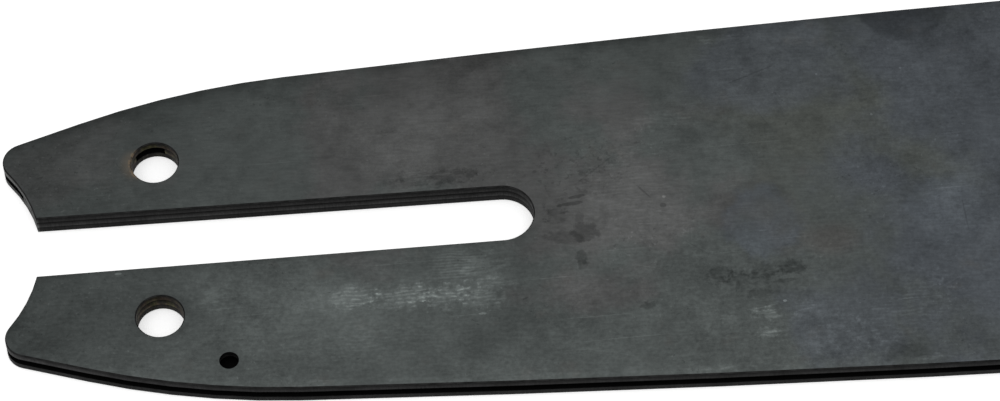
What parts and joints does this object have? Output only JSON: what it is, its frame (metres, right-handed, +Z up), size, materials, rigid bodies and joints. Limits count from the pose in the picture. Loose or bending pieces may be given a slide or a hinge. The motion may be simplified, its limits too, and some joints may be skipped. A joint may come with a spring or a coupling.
{
  "type": "chainsaw guide bar",
  "caption": "Flat laminated bar with a chain groove round its edge, an open stud slot and tension holes at the tail, and a riveted sprocket nose on rollers.",
  "frame": {"origin": "centre of the stud slot's round end, on the side face that the bar lies on", "axes": "+X along the bar towards the nose, +Y across it, +Z up through the plies"},
  "size_m": [0.41, 0.0572, 0.0032],
  "materials": {
    "side_plate_steel": "dark oxide, brushed, scuffed",
    "core_steel": "dark oxide, punched edge",
    "sprocket_steel": "hardened, oiled",
    "bearing_steel": "ground steel",
    "rivet_steel": "ground flush"
  },
  "bodies": {
    "bar": {"upper_side_plate": "side_plate_steel", "lower_side_plate": "side_plate_steel", "core_plate": "core_steel", "bearing_race": "bearing_steel", "nose_rivets": "rivet_steel"},
    "sprocket": {"nose_sprocket": "sprocket_steel"},
    "rollers": {"bearing_roller_01": "bearing_steel", "bearing_roller_02": "bearing_steel", "bearing_roller_03": "bearing_steel", "bearing_roller_04": "bearing_steel", "bearing_roller_05": "bearing_steel", "bearing_roller_06": "bearing_steel", "bearing_roller_07": "bearing_steel", "bearing_roller_08": "bearing_steel", "bearing_roller_09": "bearing_steel", "bearing_roller_10": "bearing_steel", "bearing_roller_11": "bearing_steel", "bearing_roller_12": "bearing_steel", "bearing_roller_13": "bearing_steel", "bearing_roller_14": "bearing_steel", "bearing_roller_15": "bearing_steel"}
  },
  "joints": [
    {"name": "sprocket_spin", "type": "hinge", "parent": "bar", "child": "sprocket", "pos_m": [0.32896, 0, 0.0016], "axis": [0, 0, 1], "continuous": true},
    {"name": "roller_orbit", "type": "hinge", "parent": "bar", "child": "rollers", "pos_m": [0.32896, 0, 0.0016], "axis": [0, 0, 1], "continuous": true}
  ],
  "couplings": [
    {"joint": "roller_orbit", "follows": "sprocket_spin", "ratio": 0.5983}
  ]
}
